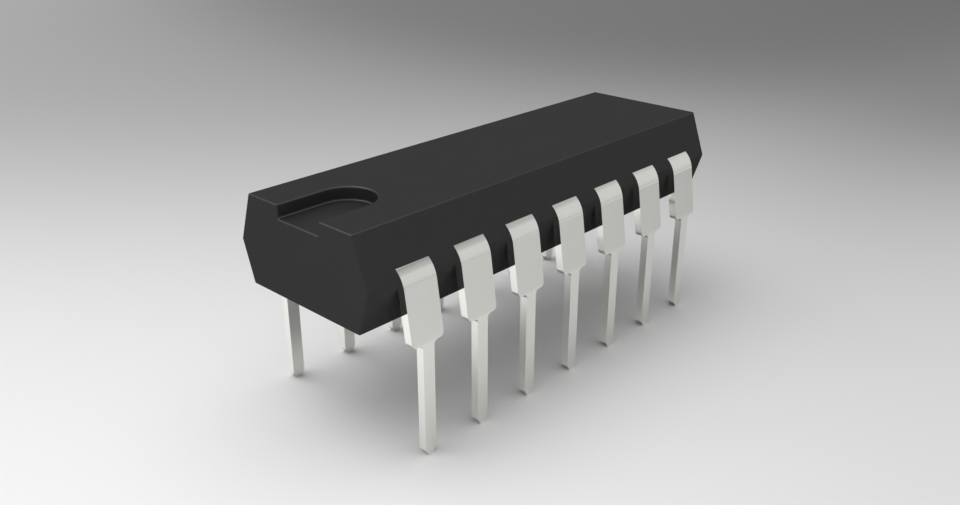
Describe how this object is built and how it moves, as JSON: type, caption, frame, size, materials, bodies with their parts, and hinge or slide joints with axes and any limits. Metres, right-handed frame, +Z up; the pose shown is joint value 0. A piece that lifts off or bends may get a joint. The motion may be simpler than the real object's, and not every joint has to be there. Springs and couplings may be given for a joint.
{
  "type": "buffer chip",
  "caption": "Dual in-line buffer chip: black moulded body with an index notch at one end and a row of formed leads down each long side.",
  "frame": {"origin": "middle of the lead pattern, on the plane that the lead tips stand on", "axes": "+X along the two rows of leads, with the index notch at the -X end; +Y across the body, from the row of leads 1 to 7 to the row of leads 8 to 14; +Z up through the body's top face"},
  "size_m": [0.0192, 0.0076, 0.0083],
  "materials": {
    "moulding": "fine matte black moulding compound",
    "lead_plate": "smooth bright tin plate",
    "pad_plate": "silver-plated copper alloy",
    "attach_epoxy": "cured silver-filled adhesive",
    "silicon": "polished silicon",
    "gold_wire": "drawn gold wire"
  },
  "bodies": {
    "root": {"moulded_body": "moulding", "lead_1": "lead_plate", "lead_2": "lead_plate", "lead_3": "lead_plate", "lead_4": "lead_plate", "lead_5": "lead_plate", "lead_6": "lead_plate", "lead_7": "lead_plate", "lead_8": "lead_plate", "lead_9": "lead_plate", "lead_10": "lead_plate", "lead_11": "lead_plate", "lead_12": "lead_plate", "lead_13": "lead_plate", "lead_14": "lead_plate", "die_pad": "pad_plate", "die_attach": "attach_epoxy", "die": "silicon", "bond_wire_1": "gold_wire", "bond_wire_2": "gold_wire", "bond_wire_3": "gold_wire", "bond_wire_4": "gold_wire", "bond_wire_5": "gold_wire", "bond_wire_6": "gold_wire", "bond_wire_7": "gold_wire", "bond_wire_8": "gold_wire", "bond_wire_9": "gold_wire", "bond_wire_10": "gold_wire", "bond_wire_11": "gold_wire", "bond_wire_12": "gold_wire", "bond_wire_13": "gold_wire", "bond_wire_14": "gold_wire"}
  },
  "joints": []
}
